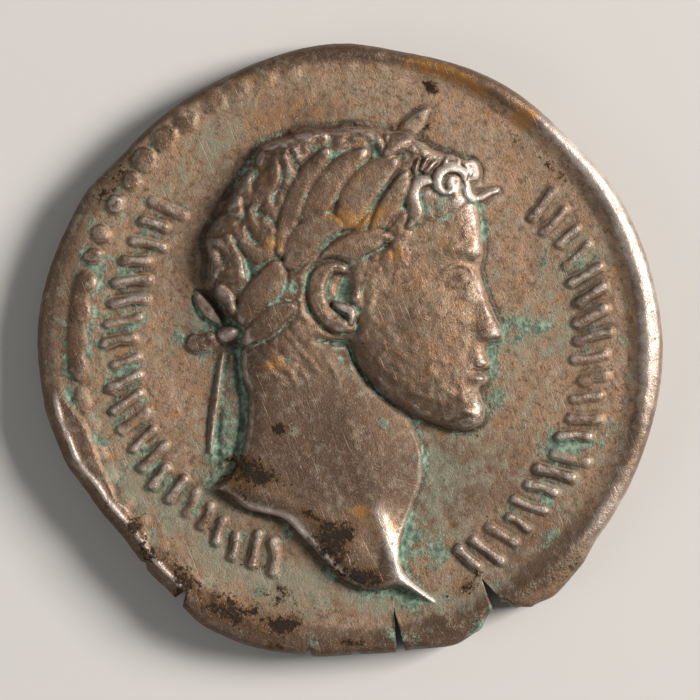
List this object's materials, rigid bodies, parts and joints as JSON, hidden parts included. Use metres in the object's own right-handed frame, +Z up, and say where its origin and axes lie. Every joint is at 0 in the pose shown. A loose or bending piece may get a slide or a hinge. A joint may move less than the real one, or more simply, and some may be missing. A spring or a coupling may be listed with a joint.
{
  "type": "silver coin",
  "caption": "Worn struck silver coin with a laurelled portrait in profile, a beaded border, a cracked edge and a draped standing figure on the back.",
  "frame": {"origin": "on the surface the coin lies on, under the middle of its box; the portrait is on top", "axes": "+Z up, out of the portrait side; +X the way the portrait looks; +Y towards the portrait's crown"},
  "size_m": [0.0186, 0.0182, 0.0023],
  "materials": {
    "worn_silver": "worn, toned silver with green verdigris in the hollows"
  },
  "bodies": {
    "root": {"coin": "worn_silver"}
  },
  "joints": []
}
